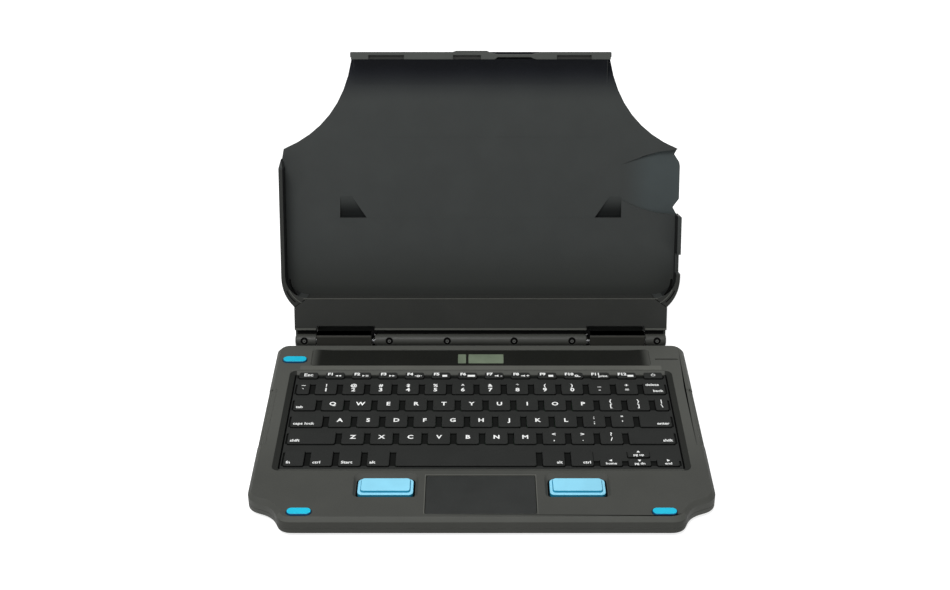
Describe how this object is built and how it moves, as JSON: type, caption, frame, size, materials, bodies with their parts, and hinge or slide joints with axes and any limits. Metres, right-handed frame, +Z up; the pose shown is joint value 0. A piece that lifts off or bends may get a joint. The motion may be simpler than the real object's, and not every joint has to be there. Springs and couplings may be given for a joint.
{
  "type": "rugged tablet keyboard",
  "caption": "Rugged keyboard base with a hinged tray that holds a field tablet: rubber keys, touchpad, two click buttons and corner bumpers.",
  "frame": {"origin": "middle of the whole object's box in plan, on the surface that it stands on, with the lid open", "axes": "+Z up, +X to the typist's right, +Y away from the typist, towards the hinge and lid"},
  "size_m": [0.2708, 0.2642, 0.1925],
  "materials": {
    "case": "fine-textured olive grey moulding",
    "lid_shell": "fine-textured cool black moulding",
    "cover": "satin black moulding",
    "retainer": "satin olive grey moulding",
    "key_rubber": "matt silicone with white legends",
    "touch_film": "satin film",
    "click": "satin sky blue",
    "bumper": "matt cyan rubber",
    "foot": "matt black rubber",
    "steel": "machined",
    "screw": "black oxide",
    "plate": "satin, blank",
    "board": "solder mask",
    "cell": "foil pouch"
  },
  "bodies": {
    "base": {"bottom_case": "case", "top_case": "case", "key_mat": "key_rubber", "key_board": "board", "controller_board": "board", "battery_pack": "cell", "touchpad": "touch_film", "nameplate": "plate", "bumper_rear_left": "bumper", "bumper_front_left": "bumper", "bumper_front_right": "bumper", "foot_front_left": "foot", "foot_front_right": "foot", "foot_rear_left": "foot", "foot_rear_right": "foot", "hinge_tower_left": "cover", "hinge_tower_right": "cover", "hinge_shaft_left": "steel", "hinge_shaft_right": "steel"},
    "lid": {"tablet_shell": "lid_shell", "hinge_cover": "cover", "top_retainer": "retainer", "hinge_leaf_left": "steel", "hinge_leaf_right": "steel", "hinge_screw_1": "screw", "hinge_screw_2": "screw", "hinge_screw_3": "screw", "hinge_screw_4": "screw", "hinge_screw_5": "screw", "hinge_screw_6": "screw"},
    "click_left": {"click_button_left": "click"},
    "click_right": {"click_button_right": "click"},
    "key_a": {"key_a": "key_rubber"},
    "key_b": {"key_b": "key_rubber"},
    "key_c": {"key_c": "key_rubber"},
    "key_d": {"key_d": "key_rubber"},
    "key_e": {"key_e": "key_rubber"},
    "key_f": {"key_f": "key_rubber"},
    "key_g": {"key_g": "key_rubber"},
    "key_h": {"key_h": "key_rubber"},
    "key_i": {"key_i": "key_rubber"},
    "key_j": {"key_j": "key_rubber"},
    "key_k": {"key_k": "key_rubber"},
    "key_l": {"key_l": "key_rubber"},
    "key_m": {"key_m": "key_rubber"},
    "key_n": {"key_n": "key_rubber"},
    "key_o": {"key_o": "key_rubber"},
    "key_p": {"key_p": "key_rubber"},
    "key_q": {"key_q": "key_rubber"},
    "key_r": {"key_r": "key_rubber"},
    "key_s": {"key_s": "key_rubber"},
    "key_t": {"key_t": "key_rubber"},
    "key_u": {"key_u": "key_rubber"},
    "key_v": {"key_v": "key_rubber"},
    "key_w": {"key_w": "key_rubber"},
    "key_x": {"key_x": "key_rubber"},
    "key_y": {"key_y": "key_rubber"},
    "key_z": {"key_z": "key_rubber"},
    "key_space": {"key_space": "key_rubber"}
  },
  "joints": [
    {"name": "lid_hinge", "type": "hinge", "parent": "base", "child": "lid", "pos_m": [0, 0.05448, 0.012], "axis": [-1, 0, 0], "range_deg": [-109.6, 25.4]},
    {"name": "click_left_press", "type": "slide", "parent": "base", "child": "click_left", "axis": [0, 0, -1], "range_m": [0, 0.0008], "stiffness_N_per_m": 1500},
    {"name": "click_right_press", "type": "slide", "parent": "base", "child": "click_right", "axis": [0, 0, -1], "range_m": [0, 0.0008], "stiffness_N_per_m": 1500},
    {"name": "key_a_press", "type": "slide", "parent": "base", "child": "key_a", "axis": [0, 0, -1], "range_m": [0, 0.001], "stiffness_N_per_m": 600},
    {"name": "key_b_press", "type": "slide", "parent": "base", "child": "key_b", "axis": [0, 0, -1], "range_m": [0, 0.001], "stiffness_N_per_m": 600},
    {"name": "key_c_press", "type": "slide", "parent": "base", "child": "key_c", "axis": [0, 0, -1], "range_m": [0, 0.001], "stiffness_N_per_m": 600},
    {"name": "key_d_press", "type": "slide", "parent": "base", "child": "key_d", "axis": [0, 0, -1], "range_m": [0, 0.001], "stiffness_N_per_m": 600},
    {"name": "key_e_press", "type": "slide", "parent": "base", "child": "key_e", "axis": [0, 0, -1], "range_m": [0, 0.001], "stiffness_N_per_m": 600},
    {"name": "key_f_press", "type": "slide", "parent": "base", "child": "key_f", "axis": [0, 0, -1], "range_m": [0, 0.001], "stiffness_N_per_m": 600},
    {"name": "key_g_press", "type": "slide", "parent": "base", "child": "key_g", "axis": [0, 0, -1], "range_m": [0, 0.001], "stiffness_N_per_m": 600},
    {"name": "key_h_press", "type": "slide", "parent": "base", "child": "key_h", "axis": [0, 0, -1], "range_m": [0, 0.001], "stiffness_N_per_m": 600},
    {"name": "key_i_press", "type": "slide", "parent": "base", "child": "key_i", "axis": [0, 0, -1], "range_m": [0, 0.001], "stiffness_N_per_m": 600},
    {"name": "key_j_press", "type": "slide", "parent": "base", "child": "key_j", "axis": [0, 0, -1], "range_m": [0, 0.001], "stiffness_N_per_m": 600},
    {"name": "key_k_press", "type": "slide", "parent": "base", "child": "key_k", "axis": [0, 0, -1], "range_m": [0, 0.001], "stiffness_N_per_m": 600},
    {"name": "key_l_press", "type": "slide", "parent": "base", "child": "key_l", "axis": [0, 0, -1], "range_m": [0, 0.001], "stiffness_N_per_m": 600},
    {"name": "key_m_press", "type": "slide", "parent": "base", "child": "key_m", "axis": [0, 0, -1], "range_m": [0, 0.001], "stiffness_N_per_m": 600},
    {"name": "key_n_press", "type": "slide", "parent": "base", "child": "key_n", "axis": [0, 0, -1], "range_m": [0, 0.001], "stiffness_N_per_m": 600},
    {"name": "key_o_press", "type": "slide", "parent": "base", "child": "key_o", "axis": [0, 0, -1], "range_m": [0, 0.001], "stiffness_N_per_m": 600},
    {"name": "key_p_press", "type": "slide", "parent": "base", "child": "key_p", "axis": [0, 0, -1], "range_m": [0, 0.001], "stiffness_N_per_m": 600},
    {"name": "key_q_press", "type": "slide", "parent": "base", "child": "key_q", "axis": [0, 0, -1], "range_m": [0, 0.001], "stiffness_N_per_m": 600},
    {"name": "key_r_press", "type": "slide", "parent": "base", "child": "key_r", "axis": [0, 0, -1], "range_m": [0, 0.001], "stiffness_N_per_m": 600},
    {"name": "key_s_press", "type": "slide", "parent": "base", "child": "key_s", "axis": [0, 0, -1], "range_m": [0, 0.001], "stiffness_N_per_m": 600},
    {"name": "key_t_press", "type": "slide", "parent": "base", "child": "key_t", "axis": [0, 0, -1], "range_m": [0, 0.001], "stiffness_N_per_m": 600},
    {"name": "key_u_press", "type": "slide", "parent": "base", "child": "key_u", "axis": [0, 0, -1], "range_m": [0, 0.001], "stiffness_N_per_m": 600},
    {"name": "key_v_press", "type": "slide", "parent": "base", "child": "key_v", "axis": [0, 0, -1], "range_m": [0, 0.001], "stiffness_N_per_m": 600},
    {"name": "key_w_press", "type": "slide", "parent": "base", "child": "key_w", "axis": [0, 0, -1], "range_m": [0, 0.001], "stiffness_N_per_m": 600},
    {"name": "key_x_press", "type": "slide", "parent": "base", "child": "key_x", "axis": [0, 0, -1], "range_m": [0, 0.001], "stiffness_N_per_m": 600},
    {"name": "key_y_press", "type": "slide", "parent": "base", "child": "key_y", "axis": [0, 0, -1], "range_m": [0, 0.001], "stiffness_N_per_m": 600},
    {"name": "key_z_press", "type": "slide", "parent": "base", "child": "key_z", "axis": [0, 0, -1], "range_m": [0, 0.001], "stiffness_N_per_m": 600},
    {"name": "key_space_press", "type": "slide", "parent": "base", "child": "key_space", "axis": [0, 0, -1], "range_m": [0, 0.001], "stiffness_N_per_m": 600}
  ]
}
